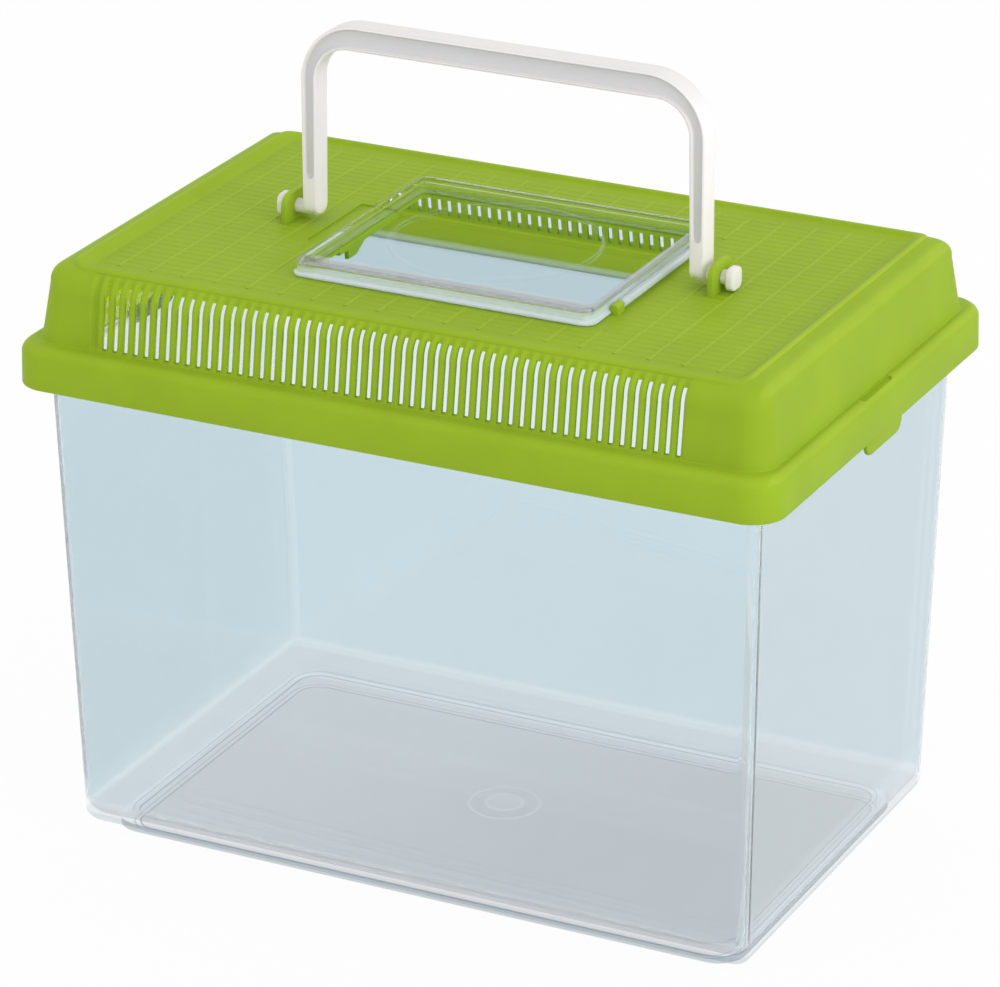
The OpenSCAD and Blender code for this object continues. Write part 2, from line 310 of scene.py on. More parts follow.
class Graph:
    """Builds nodes in one tree."""

    def __init__(self, tree):
        self.tree = tree

    def node(self, kind, inputs=None, out=0, **settings):
        """A new node's output."""
        n = self.tree.nodes.new(kind)
        for key, value in settings.items():
            setattr(n, key, value)
        for key, value in (inputs or {}).items():
            if isinstance(value, Wire):
                self.tree.links.new(value.socket, n.inputs[key])
            else:
                n.inputs[key].default_value = value
        return Wire(self.tree, n.outputs[out])

    def end(self, kind, result):
        """The tree's output node."""
        self.tree.links.new(result.socket, self.tree.nodes.new(kind).inputs[0])

    def split(self, vector):
        """The three parts of a vector."""
        n = self.tree.nodes.new("ShaderNodeSeparateXYZ")
        self.tree.links.new(vector.socket, n.inputs[0])
        return [Wire(self.tree, o) for o in n.outputs]

    def normal(self):
        """The direction that the face looks in."""
        return self.node("ShaderNodeTexCoord", out=1)

    def far(self, x, y, half):
        """How far a point lies outside a rectangle round the middle."""
        return (abs(x) - half[0]).most(abs(y) - half[1])

    def round_far(self, x, y, half, r):
        """How far a point lies outside a rounded rectangle round the middle."""
        qx, qy = abs(x) - (half[0] - r), abs(y) - (half[1] - r)
        px, py = qx.most(0.0), qy.most(0.0)
        return (px * px + py * py) ** 0.5 + qx.most(qy).least(0.0) - r

    def near(self, value, middle, half, edge=0.3):
        """1 within half of a middle value, falling to 0 over the edge."""
        return self.clamp(abs(value - middle), half + edge, half)

    def clamp(self, value, low, high, to_low=0.0, to_high=1.0):
        """A smooth step of value from low to high."""
        inputs = {0: value, 1: low, 2: high, 3: to_low, 4: to_high}
        return self.node("ShaderNodeMapRange", inputs, interpolation_type="SMOOTHSTEP")

    def mix(self, factor, a, b, blend="MIX"):
        """A colour mix."""
        a, b = [c if isinstance(c, Wire) else (*c, 1) for c in (a, b)]
        return self.node("ShaderNodeMix", {0: factor, 6: a, 7: b}, 2, data_type="RGBA", blend_type=blend)

    def noise(self, place, scale, detail=2.0):
        return self.node("ShaderNodeTexNoise", {
            "Vector": place, "Scale": scale, "Detail": detail, "Roughness": 0.55})

    def bump(self, height, strength):
        return self.node("ShaderNodeBump", {"Strength": strength, "Distance": 0.05 * MM, "Height": height})

    def film(self, colour):
        """A surface that only tints the light going through it."""
        return self.node("ShaderNodeBsdfTransparent", {"Color": (*colour, 1)})

    def blend(self, factor, a, b):
        """A mix of two surfaces."""
        return self.node("ShaderNodeMixShader", {0: factor, 1: a, 2: b})

    def plain_rays(self):
        """Above 0 for the camera's rays and those that gloss or clear plastic sends on."""
        path = self.tree.nodes.new("ShaderNodeLightPath")
        camera, gloss, clear = [Wire(self.tree, path.outputs[f"Is {kind} Ray"])
                                for kind in ("Camera", "Glossy", "Transmission")]
        return camera + gloss + clear


def new_graph(data):
    """An empty node tree of a material or a world."""
    data.use_nodes = True
    data.node_tree.nodes.clear()
    return Graph(data.node_tree)


def finish_graph(name):
    """A new material with its tree and its Object coordinates in millimetres."""
    mat = bpy.data.materials.new(name)
    g = new_graph(mat)
    coords = g.node("ShaderNodeTexCoord", out=3)
    return mat, g, g.node("ShaderNodeVectorMath", {0: coords, 3: 1 / MM}, operation="SCALE")


# ---- opaque plastic

def moulded(name, colour, roughness, painted_light_at, tone=0.03, through=0.0, painted_glow_at=None, gloss=0.22):
    """Opaque moulded plastic: flow mottle in the colour, a fine satin skin and a little light let through;
    painted_light_at paints light and shade into the colour, and painted_glow_at paints a glow on it.
    """
    mat, g, place = finish_graph(name)
    cloud = g.noise(place, 0.035, 3.0)
    fleck = g.noise(place, 1.6)
    light = [min(1.0, c * (1 + tone)) for c in colour]
    dark = [c * (1 - tone) for c in colour]
    # painted light and shade from painted_light_at go into the base colour
    base = painted_light_at(g, place, g.mix(g.clamp(cloud, 0.3, 0.7), dark, light))
    rough = roughness + (cloud - 0.5) * 0.12 + (fleck - 0.5) * 0.08
    shader = g.node("ShaderNodeBsdfPrincipled", {
        "Base Color": base, "Roughness": rough, "Normal": g.bump(fleck, 0.12), "IOR": 1.49,
        "Specular IOR Level": gloss})
    if painted_glow_at:
        # painted light: the emission colour from painted_glow_at makes these faces glow though they are no
        # lamp
        skin = shader.socket.node
        skin.inputs["Emission Strength"].default_value = 1.0
        g.tree.links.new(painted_glow_at(g, place).socket, skin.inputs["Emission Color"])
        glow = g.node("ShaderNodeBsdfTranslucent", {"Color": (*colour, 1)})
        shader = g.blend(through, shader, glow)
    g.end("ShaderNodeOutputMaterial", shader)
    return mat


def lid_painted_inner_glow(g, place):
    """Painted light: an emission colour that makes the faces inside the lid glow, standing in for daylight
    that comes through its wall.
    """
    x, y, z = g.split(place)
    normal = g.normal()
    level = g.node("ShaderNodeVectorMath", {0: place, 1: (1, 1, 0)}, operation="MULTIPLY")
    outward = g.node("ShaderNodeVectorMath", {0: level}, operation="NORMALIZE")
    turned = g.node("ShaderNodeVectorMath", {0: normal, 1: outward}, 1, operation="DOT_PRODUCT")
    inward = g.clamp(turned, -0.1, -0.5) + g.clamp(g.split(normal)[2], -0.2, -0.6)
    deep = g.clamp(g.far(x, y, DOME) + g.clamp(z, LEDGE_Z, 219.0, 0.0, LEAN), -1.2, -1.6)
    low = g.clamp(z, LEDGE_Z - 0.4, LEDGE_Z - 0.8)
    inside = inward.least(1.0) * deep.most(low)
    inside = inside * g.clamp(z, UNDER_Z + 1.4, UNDER_Z + 1.0) * g.clamp(z, SKIRT_Z + 0.6, SKIRT_Z + 1.6)
    return g.mix(inside, (0, 0, 0), g.mix(low, (0.20, 0.25, 0.004), (0.36, 0.40, 0.005)))


def lid_painted_light(g, place, base):
    """Painted light on the lid: painted highlights on its ribs, its end crests and the rolled edges of its
    end shoulders and skirt, and painted shade in the valleys between the treads.
    """
    x, y, z = g.split(place)
    round_hatch = g.far(x - HATCH_AT[0], y - HATCH_AT[1], (60, 50))
    here = g.clamp(g.far(x, y, TREADS), 0.0, -0.5) * g.clamp(round_hatch, 0.0, 0.5)
    # painted shade in the low valleys between the treads
    valley = here * g.clamp(z, FIELD_Z + 0.1, FIELD_Z + 0.03)
    # painted highlight on the raised ribs
    rib = here * g.clamp(z, FIELD_Z + 0.17, FIELD_Z + 0.22)
    out = abs(x)
    over = out - PANEL[0]
    # painted highlight along the panel's crest at the ends
    crest = (g.clamp(over, -2.0, -1.2) * g.clamp(over, 0.5, 0.0)
             * g.clamp(z, PANEL_Z - 0.9, PANEL_Z - 0.4) * g.clamp(abs(y), 82.0, 78.0))
    # painted highlight on the end shoulder's roll
    shoulder = g.near(out, 139.6, 1.0, 1.2) * g.clamp(z, 223.2, 224.4)
    # painted highlight on the skirt's top roll beside the ledge, at the ends
    ledge = g.near(out, 147.6, 1.0, 1.0) * g.near(z, 198.3, 0.8, 0.8)
    # the tints: painted highlights lighten, painted shade darkens
    for where, tint in ((crest, (1.18, 1.09, 1.3)), (shoulder + ledge, (1.13, 1.06, 1.45)),
                        (valley, (0.965, 0.97, 0.95)), (rib, (1.09, 1.06, 1.25))):
        base = g.mix(where, base, tint, "MULTIPLY")
    return base


def handle_painted_light(g, place, base):
    """Painted light on the handle: its faces that do not look up are painted lighter than its top, and
    painted shade greys the recessed channel in them.
    """
    x, y, z = g.split(place)
    turn = g.split(g.normal())
    # painted light: the faces that do not look up are made lighter than the top
    base = g.mix(g.clamp(turn[2], 0.75, 0.2), base, (1.22, 1.17, 1.22), "MULTIPLY")
    # painted shade: the recessed channel is painted grey
    deep = g.clamp(abs(y), 4.3, 3.7) * g.clamp(abs(turn[1]), 0.35, 0.8) * z.over(240.0)
    return g.mix(deep, base, (0.70, 0.685, 0.70))


# ---- clear plastic

def clear(name, tint, painted_shade, calm, calm_tint, calm_share, layers, bare_at, painted_reflection=None):
    """Clear moulded plastic, whose walls let the tint through; painted_shade paints shade into it by place.

    Where calm is 1, most light passes straight, as through a thin even plate, tinted by calm_tint
    and the layers, which also hold painted shade and light. Where bare_at is 1, nearly all of it does. Where
    painted_reflection is 1, a milky white layer paints reflected light.
    """
    mat, g, place = finish_graph(name)
    cloud = g.noise(place, 0.03)
    base = g.mix(cloud, [c * 0.985 for c in tint], [min(1, c * 1.015) for c in tint])
    # painted shade from painted_shade goes into the base colour
    shader = g.node("ShaderNodeBsdfPrincipled", {
        "Base Color": painted_shade(g, place, base), "Roughness": 0.0, "IOR": CLEAR_IOR, "Transmission Weight": 1.0,
        "Normal": g.bump(g.noise(place, 0.05, 1.0), 0.2)})
    shader = g.blend(0.1, shader, g.film([c ** 0.5 for c in tint]))
    plain = g.film([c ** 0.5 for c in calm_tint])
    for where, colour in layers(g, place):
        plain = g.blend(where, plain, g.film(colour))
    shader = g.blend(calm(g, place) * calm_share, shader, plain)
    shader = g.blend(bare_at(g, place), shader, g.film((0.96, 0.975, 0.98)))
    # painted reflection: a milky white layer where painted_reflection is 1
    if painted_reflection:
        reflection_layer = g.node("ShaderNodeBsdfPrincipled", {
            "Base Color": (0.80, 0.87, 0.90, 1), "Roughness": 0.25, "Alpha": 0.75, "Specular IOR Level": 0.3})
        shader = g.blend(painted_reflection(g, place), shader, reflection_layer)
    g.end("ShaderNodeOutputMaterial", shader)
    return mat


def tank_painted_floor_shade(g, place, base):
    """Painted shade on the tank's floor: greyer inside the foot's outline and a little round it, darker
    towards the front right, and a greyer tint low down.
    """
    x, y, z = g.split(place)
    low = g.clamp(z, 9.5, 6.0)
    inner = g.clamp(g.far(x, y, (122.0, 70.3)), 0.5, -9.0)
    deep = g.clamp(z, 5.6, 5.2)
    # painted shade, darker towards the front right
    grey = g.mix(across_floor(g, x, y), (0.70, 0.72, 0.735), (0.655, 0.665, 0.68))
    return g.mix(deep * inner, g.mix(low, base, (0.755, 0.785, 0.80)), grey)


def across_floor(g, x, y):
    """0 at the floor's back left, 1 at its front right; it ramps the painted shade across the floor."""
    return g.clamp(x + y * -0.4, -120.0, 60.0)


def tank_calm(g, place):
    """The tank's floor and foot."""
    return g.clamp(g.split(place)[2], 15.0, 11.0)


def tank_floor_tint_and_painted_shade(g, place):
    """What the floor's faces let through: a tint on the faces that look up, such as the ledge; painted shade
    on the foot, the bowl and the recess, darker towards the front right, and on the lines round the recess;
    and a painted highlight on the gate mark.
    """
    x, y, z = g.split(place)
    rise = g.split(g.normal())[2]
    top = g.clamp(rise, 0.05, 0.3)
    foot = (g.clamp(x, 122.0, 126.0).most(g.clamp(y, -70.0, -74.0))
            * g.clamp(abs(rise), 0.6, 0.3) * g.clamp(z, 4.6, 4.1))
    bowl = g.clamp(rise, -0.05, -0.3) * g.clamp(z, 4.0, 4.4)
    off = g.round_far(x, y, RECESS, 9.0)
    recess = top * g.clamp(off, 0.4, -0.8)
    # painted shade along the recess's edges
    line = top * (g.near(off, 0.0, 0.15) + g.near(off, 2.2, 0.15) * 0.6)
    away = (x * x + y * y) ** 0.5
    # painted highlight on the gate mark's rings and middle
    mark = (g.near(away, 13.4, 0.3) * 0.6 + g.near(away, 6.8, 0.5) * 0.6 + g.clamp(away, 6.2, 5.4) * 0.25)
    mark = top * g.clamp(z, 2.4, 3.0) * mark
    return ((top, (0.88, 0.89, 0.9)), (foot, (0.66, 0.70, 0.73)), (bowl, (0.82, 0.86, 0.885)),
            (recess, (0.84, 0.835, 0.84)), (recess * across_floor(g, x, y), (0.80, 0.79, 0.80)),
            (line, (0.52, 0.54, 0.56)), (mark, (0.93, 0.93, 0.93)))


def tank_thin(g, place):
    """The tank's rim under the lid, and the clearer bands beside the upright corners."""
    x, y, z = g.split(place)
    lean = (z - 10.0) * 0.0268
    across, along = abs(x) - TANK_FOOT[0] - lean, abs(y) - TANK_FOOT[1] - lean * 1.12
    band = g.near(across, -2.3, 1.0, 0.6) * g.clamp(along, -2.0, -1.5) * g.clamp(z, 9.0, 12.0)
    return g.clamp(z, 187.0, 190.0) * 0.78 + band * g.clamp(z, 188.0, 187.0) * 0.55


def hatch_place(g, place):
    """A place as seen from the hatch's middle."""
    x, y, z = g.split(place)
    return x - HATCH_AT[0], y - HATCH_AT[1], z


def hatch_walls(g, place):
    """The hatch's walls, and those of them that face the front and the right."""
    x, y, z = hatch_place(g, place)
    walls = g.clamp(z, HATCH_HIGH[2] - 2.0, HATCH_HIGH[2] - 3.0) * g.clamp(g.far(x, y, HATCH), -2.6, -2.1)
    return walls, g.clamp(x, 54.0, 57.0).most(g.clamp(y, -46.0, -48.5))


def hatch_painted_edge_shade(g, place, base):
    """Painted shade: the hatch's rounded upper edges are painted darker than its walls."""
    x, y, z = hatch_place(g, place)
    edge = g.clamp(g.far(x, y, HATCH), -3.2, -2.2).most(g.clamp(y, -42.5, -46.5))
    return g.mix(g.clamp(z, HATCH_HIGH[2] - 1.9, HATCH_HIGH[2] - 1.5) * edge, base, (0.42, 0.41, 0.40))


def hatch_calm(g, place):
    """The hatch's top plate inside its walls, but for its ring and its front edge."""
    x, y, z = hatch_place(g, place)
    plate = g.clamp(g.far(x, y, HATCH), -1.5, -2.4) * g.clamp(y, -46.5, -42.5)
    x, y = x - HATCH_RING[0], y - HATCH_RING[1]
    line = g.clamp(abs((x * x + y * y) ** 0.5 - HATCH_RING[2]), 0.7, 0.4)
    return plate * (1.0 - line * 0.15)


def hatch_painted_light_strips(g, place):
    """Painted light: lighter strips in the plate's tint along its back and left edges, which lighten the far
    walls seen through them.
    """
    x, y, z = hatch_place(g, place)
    return ((g.clamp(y, 36.0, 41.0).most(g.clamp(x, -48.0, -52.0)), (0.96, 0.97, 0.9)),)


def hatch_thin(g, place):
    """The far walls, seen through almost unchanged."""
    walls, near = hatch_walls(g, place)
    return walls * (1.0 - near) * 0.85


def hatch_painted_reflection(g, place):
    """Painted reflection: a milky white layer on the near walls stands in for the light that they reflect."""
    walls, near = hatch_walls(g, place)
    return walls * near * 0.75


# ---- settings

def size(name, millimetres, description):
    """A length setting."""
    return FloatProperty(
        name=name, description=description, default=millimetres * MM, unit="LENGTH", precision=5)


def tone(name, rgb, description):
    """A colour setting."""
    return FloatVectorProperty(
        name=name, description=description, subtype="COLOR", size=3, min=0, max=1, default=rgb)


def angle(name, degrees, description):
    """An angle setting."""
    return FloatProperty(name=name, description=description, subtype="ANGLE", default=radians(degrees))


class KeeperLid(bpy.types.PropertyGroup):
    """Sizes and colour of the vented lid."""
    skirt_corner: size("Skirt Corner", 13, "Corner radius of the skirt")
    wall: size("Wall", 1.8, "Thickness of the lid")
    slot_count: IntProperty(name="Slots", description="Air slots along each long side", default=54, min=2)
    slot_pitch: size("Slot Pitch", 4.26, "Spacing of the air slots")
    slot_width: size("Slot Width", 1.8, "Width of each air slot")
    valley: size("Flute Depth", 1.2, "Depth of the valleys between the flutes")
    rib_pitch: size("Rib Pitch", 13.1, "Spacing of the long ribs in the top field")
    tread_pitch: size("Tread Pitch", 4.3, "Spacing of the short treads between the ribs")
    colour: tone("Colour", (0.374, 0.54, 0.03), "Colour of the lid")


class KeeperTank(bpy.types.PropertyGroup):
    """Sizes and tint of the clear tank."""
    wall: size("Wall", 1.5, "Thickness of the walls")
    floor: size("Floor", 2.2, "Thickness of the floor")
    foot: size("Foot", 4, "Height of the foot")
    tint: tone("Tint", (0.755, 0.838, 0.87), "Tint of the clear plastic")


class KeeperHandle(bpy.types.PropertyGroup):
    """Sizes and colour of the carrying handle."""
    leg: size("Leg Width", 5.8, "Width of each leg seen from the front")
    bar: size("Bar Height", 9.4, "Height of the top bar")
    channel: size("Channel Depth", 1.6, "Depth of the channel in the faces")
    colour: tone("Colour", (0.77, 0.75, 0.735), "Colour of the handle")


class KeeperHatch(bpy.types.PropertyGroup):
    """Sizes and tint of the clear hatch."""
    wall: size("Wall", 1.6, "Thickness of the hatch")
    edge: size("Edge Radius", 1.2, "Radius of the hatch's upper edges")
    tint: tone("Tint", (0.93, 0.96, 0.965), "Tint of the clear plastic")


class KeeperStage(bpy.types.PropertyGroup):
    """Light and camera."""
    turn: angle("Camera Turn", 26.58, "Turn of the camera to the right of the front")
    rise: angle("Camera Rise", 22.94, "Height of the camera above the horizon")
    distance: size("Camera Distance", 1926.62, "Distance of the camera")
    fill: FloatProperty(name="Fill Light", description="Strength of light from all sides", default=1.0, min=0)
    key: FloatProperty(name="Key Light", description="Power of the large lamp", default=10.0, min=0)


def group(kind, name):
    """The settings of one part."""
    return PointerProperty(type=kind, name=name, description=f"Settings of the {name.lower()}")


class KeeperSettings(bpy.types.PropertyGroup):
    """All settings of the pet keeper."""
    lid: group(KeeperLid, "Lid")
    tank: group(KeeperTank, "Tank")
    handle: group(KeeperHandle, "Handle")
    hatch: group(KeeperHatch, "Hatch")
    stage: group(KeeperStage, "Stage")


# ---- lid

def wall_point(z, half, top=SHOULDER_Z - ROUND):
    """The dome's wall, as a half size at a height."""
    return half - LEAN * max(0.0, z - LEDGE_Z + 1) / (top - LEDGE_Z + 1)


def cutter(name, half, r, low, high, at, arc=4):
    """An upright block for cutting, between two heights."""
    return piece(name, loft([ring(half, 0, r, z, at=at, arc=arc, run_x=1, run_y=1) for z in (low, high)]))


def lid_shell(s):
    """The lid's shell, from under its top, down inside, round the skirt and back over the top."""
    wall, corner = s.wall / MM, s.skirt_corner / MM
    under = LEDGE_Z - wall
    inner_round = 5.2
    rings = [ring(DOME, wall + LEAN + inner_round, 4.0, UNDER_Z)]
    rings += [
        ring(DOME, wall + LEAN + inner_round * c, 8.2 - inner_round * c * 0.5, UNDER_Z - inner_round * h)
        for c, h in reversed(quarter(8)[:8])]
    rings += [ring(DOME, wall - d, 8.6 + d, under + z) for d, z in ((0, 0.6), (0.2, 0.2), (0.6, 0))]
    rings += [ring(SKIRT, wall + d, corner - wall - r, z) for d, r, z in (
        (1.8, 1.2, under), (0.9, 0.6, under - 0.4), (0.3, 0, under - 1.6), (0, 0, SKIRT_Z + 0.5),
        (-0.3, -0.3, SKIRT_Z + 0.05))]
    rings += [ring(SKIRT, d, corner - d, z) for d, z in (
        (0.5, SKIRT_Z), (0.15, SKIRT_Z + 0.15), (0, SKIRT_Z + 0.5), (0.2, LEDGE_Z - 7))]
    rings += [ring(SKIRT, 0.3 + 4 * c, corner - 0.3 - 2.2 * c, LEDGE_Z - 4 * h) for c, h in quarter(8)]
    fillet = 0.6
    rings += [ring(DOME, -fillet * h, DOME_CORNER + fillet * h * 0.5, LEDGE_Z + fillet * c)
              for c, h in quarter(4)]

    # The dome's walls and shoulder, which turns over in a wider arc on the long sides than at the ends
    side_top, end_top = SHOULDER_Z - ROUND, SHOULDER_Z - END_ROUND
    foot = LEDGE_Z + fillet
    for k in range(1, 5):
        end_z, side_z = foot + (end_top - foot) * k / 5, foot + (side_top - foot) * k / 5
        half = (wall_point(end_z, DOME[0], end_top), wall_point(side_z, DOME[1]))
        rings.append(ring(half, 0, DOME_CORNER, end_z, side_z))
    stop = acos(1 - (DOME[1] - LEAN - PANEL[1] - 0.25) / ROUND)
    for k in range(13):
        end, side = radians(90 * k / 12), stop * k / 12
        half = (DOME[0] - END_ROUND * (1 - cos(end)), DOME[1] - ROUND * (1 - cos(side)))
        rings.append(ring(half, LEAN, DOME_CORNER - 2.4 * k / 12,
                          end_top + END_ROUND * sin(end), side_top + ROUND * sin(side)))

    # The panel's step and rim, and the slope down into the field
    px, py = PANEL
    side_z = side_top + ROUND * sin(stop)
    rings.append(ring((px + 1.2, py + 0.15), 0, 7.6, SHOULDER_Z + 0.02, side_z + 0.08))
    rings.append(ring((px + 0.3, py + 0.05), 0, 7.4, SHOULDER_Z + 0.25, side_z + 0.2))
    rings += [ring((px - 1.1 * c, py - 2.2 * c), 0.1, 7.2 - 1.2 * c, PANEL_Z - 1.1 * h, RIM_Z - 1.1 * h)
              for c, h in quarter(6)]
    fx, fy = FIELD
    for t in [k / 8 for k in range(9)]:
        fall = 3 * t * t - 2 * t ** 3
        rings.append(ring((fx + 3.3 - 5.4 * t, fy + 1.5 - 1.9 * t), 0, 5.8 - t,
                          PANEL_Z + (FIELD_Z - PANEL_Z) * fall, RIM_Z + (FIELD_Z - RIM_Z) * fall))
    rings.append(ring((fx - 2.6, fy - 0.9), 0, 4.6, FIELD_Z))
    shell = piece("lid_shell", loft(rings))

    # Opening, finger pocket, notches and the two vent windows
    pitch = s.slot_pitch / MM
    low, high = FIELD_Z - 9, FIELD_Z + 5
    cutters = [cutter("cut_opening", HATCH_OPEN, 2.6, low, high, HATCH_AT, 6),
               cutter("cut_pocket", (7.6, 21.5), 1.0, low, high, (-62.8, 2.0))]
    for side in (-1, 1):
        at = (side * 146.6, -1.0)
        cutters.append(cutter("cut_notch", (1.2, 13.0), 1.0, LEDGE_Z - 1.1, LEDGE_Z + 3, at))
    for side in (-1, 1):
        half = ((s.slot_count + 1) * pitch / 2, 6)
        at = (VENT_X - pitch / 2, side * (VENT_IN + half[1]))
        cutters.append(cutter("cut_vent", half, 0.05, VENT_LOW, SHOULDER_Z + 0.3, at, 1))
    combine(shell, "DIFFERENCE", cutters)
    return shell


def vent_profile():
    """The long wall's outer and inner points, from the ledge to the panel, as (half width, height)."""
    half = DOME[1]
    base, top = half - LEAN - ROUND, SHOULDER_Z - ROUND
    straight = ((VENT_LOW, 0.3), (200.15, 0.12), (200.7, 0), (201.6, 0), (205.0, 0), (209.0, 0), (213.0, 0))
    outer = [(wall_point(z, half) + out, z) for z, out in straight]
    inner = [(wall_point(z, half) - 1.8, z) for z, out in straight]
    stop = acos(1 - (half - LEAN - VENT_IN - 0.15) / ROUND)
    for a in [stop * k / 12 for k in range(13)]:
        outer.append((base + ROUND * cos(a), top + ROUND * sin(a)))
        inner.append((max(VENT_IN, base + (ROUND - 1.9) * cos(a)), top + (ROUND - 1.9) * sin(a)))
    return outer, inner


def flute_cell(s, side, open_slot=True):
    """One pitch of the fluted wall: half a flute, the air slot or a plain valley, and half a flute."""
    layers = vent_profile()
    pitch, slot, valley = s.slot_pitch / MM, s.slot_width / MM / 2, s.valley / MM
    rim = [slot + (pitch / 2 - slot) * t for t in (0, 0.3, 0.65, 1)]
    cols = [-x for x in reversed(rim)] + [-slot * 0.45, 0.0, slot * 0.45] + rim
    rows, n = len(layers[0]) - 1, len(cols) - 1
    left, right = 3, n - 3  # the columns at the slot's sides
    first, last = SLOT_ROWS if open_slot else (0, 0)
    verts, faces, at = [], [], {}

    def vertex(layer, j, i):
        key = (layer, j, i)
        if key not in at:
            x = cols[i]
            y, z = layers[layer][j]
            if layer == 0:
                deep = valley * (0.5 + 0.5 * cos(2 * pi * x / pitch))
                deep *= min(1.0, max(0.0, (z - VENT_LOW) / 1.4)) * min(1.0, (rows - j) / 2.5)
                p, q = layers[0][max(j - 1, 0)], layers[0][min(j + 1, rows)]
                t = Vector((q[0] - p[0], q[1] - p[1])).normalized()
                y = max(y - t.y * deep, VENT_IN)
                z += t.x * deep
            at[key] = len(verts)
            verts.append((x, side * y, z))
        return at[key]

    def quad(*keys):
        faces.append(tuple(vertex(*k) for k in keys))

    for j in range(rows):
        is_open = first <= j < last
        for i in range(n):
            if is_open and left <= i < right:
                continue
            quad((0, j, i), (0, j, i + 1), (0, j + 1, i + 1), (0, j + 1, i))
            quad((1, j, i), (1, j + 1, i), (1, j + 1, i + 1), (1, j, i + 1))
        if is_open:
            quad((0, j, left), (0, j + 1, left), (1, j + 1, left), (1, j, left))
            quad((0, j, right), (1, j, right), (1, j + 1, right), (0, j + 1, right))
    for i in range(left, right) if open_slot else ():
        quad((0, first, i), (1, first, i), (1, first, i + 1), (0, first, i + 1))
        quad((0, last, i), (0, last, i + 1), (1, last, i + 1), (1, last, i))
    for i in range(n):
        quad((0, 0, i), (1, 0, i), (1, 0, i + 1), (0, 0, i + 1))
        quad((0, rows, i), (0, rows, i + 1), (1, rows, i + 1), (1, rows, i))
    if side > 0:
        faces = [tuple(reversed(f)) for f in faces]
    return piece("flute_cell", (verts, faces), smooth=50)


def copy_cell(name, cell, points, inputs, material, merge=False):
    """Copies of a cell on a tree's points, as a plain mesh. inputs gives each label's kind and value."""
    inputs = {"Cell": ("Object", cell), **inputs, "Material": ("Material", material)}
    tree = bpy.data.node_groups.new(name, "GeometryNodeTree")
    tree.interface.new_socket("Geometry", in_out="OUTPUT", socket_type="NodeSocketGeometry")
    keys = {}
    for label, (kind, value) in inputs.items():
        socket = tree.interface.new_socket(label, in_out="INPUT", socket_type="NodeSocket" + kind)
        keys[label] = socket.identifier
    g = Graph(tree)
    given = tree.nodes.new("NodeGroupInput")
    val = {label: Wire(tree, given.outputs[label]) for label in inputs}
    source = g.node("GeometryNodeObjectInfo", {"Object": val["Cell"]}, "Geometry")
    copies = g.node("GeometryNodeInstanceOnPoints", {"Points": points(g, val), "Instance": source})
    real = g.node("GeometryNodeRealizeInstances", {"Geometry": copies})
    if merge:
        real = g.node("GeometryNodeMergeByDistance", {"Geometry": real, "Distance": 2e-6})
    dressed = g.node("GeometryNodeSetMaterial", {"Geometry": real, "Material": val["Material"]})
    g.end("NodeGroupOutput", dressed)
    obj = add(name, bpy.data.meshes.new(name))
    mod = obj.modifiers.new("copies", "NODES")
    mod.node_group = tree
    for label, (kind, value) in inputs.items():
        mod[keys[label]] = value
    bake(obj)
    drop(cell)
    return obj


def repeat_along(name, cell, count, start, step, material):
    """Repeats a cell in a row and joins the copies where they touch."""
    def line(g, val):
        sizes = {"Count": val["Count"], "Start Location": val["Start"], "Offset": val["Step"]}
        return g.node("GeometryNodeMeshLine", sizes, mode="OFFSET", count_mode="TOTAL")
    inputs = {"Count": ("Int", count), "Start": ("Vector", start), "Step": ("Vector", step)}
    return copy_cell(name, cell, line, inputs, material, merge=True)


def spread(name, cell, across, counts, gaps, level, material):
    """Lays a cell on a grid of points, and leaves out the hatch's and the pocket's rectangles."""
    def grid(g, val):
        kept = g.node("GeometryNodeMeshGrid", {
            "Size X": val["Size X"], "Size Y": val["Size Y"],
            "Vertices X": val["Count X"], "Vertices Y": val["Count Y"]})
        x, y, _ = g.split(g.node("GeometryNodeInputPosition"))
        for gap in ("Hatch", "Pocket"):
            low, high = g.split(val[gap + " Low"]), g.split(val[gap + " High"])
            inside = x.over(low[0]) * x.under(high[0]) * y.over(low[1]) * y.under(high[1])
            given = {"Geometry": kept, "Selection": inside}
            kept = g.node("GeometryNodeDeleteGeometry", given, domain="POINT")
        return g.node("GeometryNodeSetPosition", {"Geometry": kept, "Offset": val["Level"]})
    inputs = {"Size X": ("Float", across[0]), "Size Y": ("Float", across[1]),
              "Count X": ("Int", counts[0]), "Count Y": ("Int", counts[1]),
              "Hatch Low": ("Vector", gaps[0]), "Hatch High": ("Vector", gaps[1]),
              "Pocket Low": ("Vector", gaps[2]), "Pocket High": ("Vector", gaps[3]),
              "Level": ("Vector", level)}
    return copy_cell(name, cell, grid, inputs, material)


def pillow(name, hx, hy, high, edge):
    """A low raised tread with soft edges, standing on z = 0."""
    levels = ((0, -0.15), (0, high * 0.1), (edge * 0.35, high * 0.55), (edge, high))
    rings = [ring((hx, hy), d, min(0.3, (hx - d) / 2), z, arc=2, run_x=1, run_y=1) for d, z in levels]
    return piece(name, loft(rings), smooth=60)


